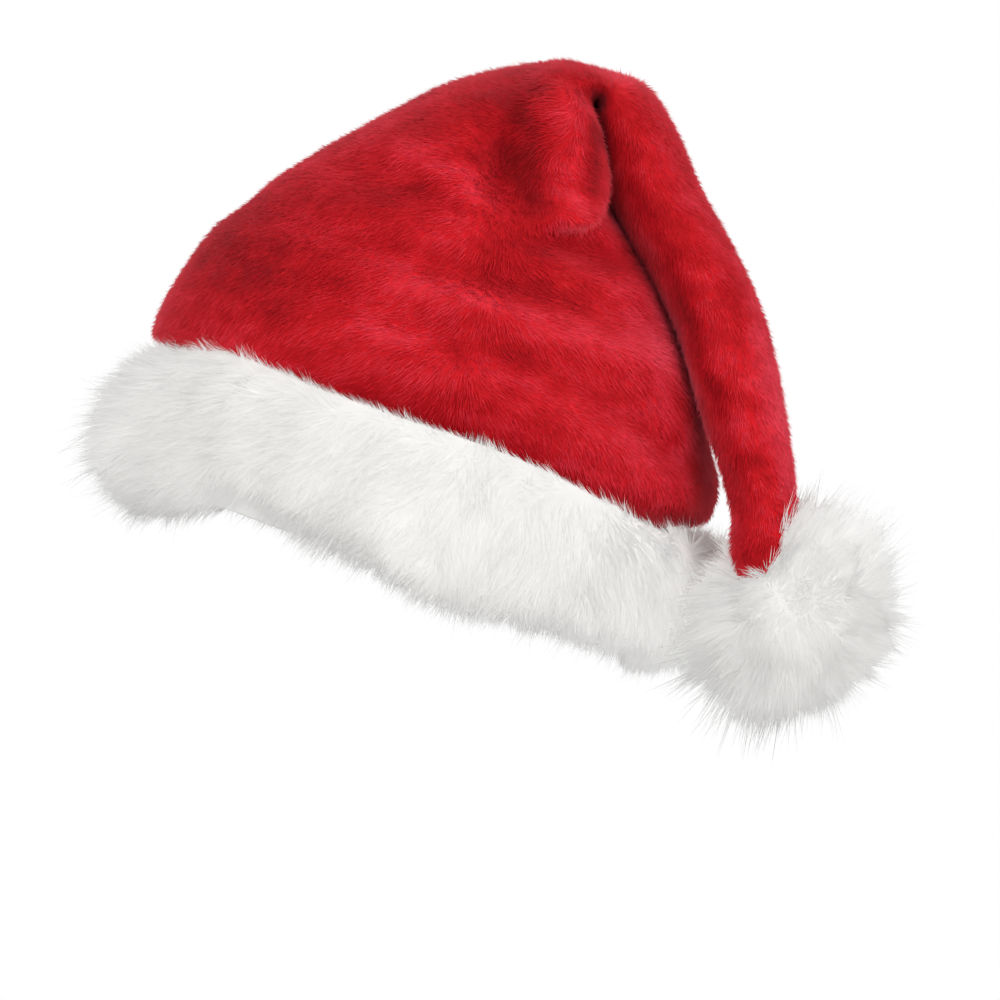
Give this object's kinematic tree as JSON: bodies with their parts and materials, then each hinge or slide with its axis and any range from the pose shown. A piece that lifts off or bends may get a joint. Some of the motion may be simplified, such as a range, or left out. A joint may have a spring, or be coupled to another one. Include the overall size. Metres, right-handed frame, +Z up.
{
  "type": "plush Christmas cap with a fur brim and a fur ball",
  "caption": "Soft plush cone cap that folds over at the top, with a deep fur brim round the head opening and a fur ball on the tip of its tail",
  "frame": {"origin": "the middle of the head opening, in the plane of the brim's lower edge, where the wearer's head holds the cap", "axes": "+Z is up as the cap is worn, +X is the side that the tail falls to, and -Y is the front. The cap leans 20 degrees from +Z to +X"},
  "size_m": [0.3307, 0.2889, 0.2648],
  "materials": {
    "red_plush": "short-pile polyester plush, bright red, matte with a soft sheen at its edges",
    "white_fur": "long-pile faux fur, white, matte"
  },
  "bodies": {
    "root": {"crown": "red_plush", "brim": "white_fur", "pompom": "white_fur"}
  },
  "joints": []
}
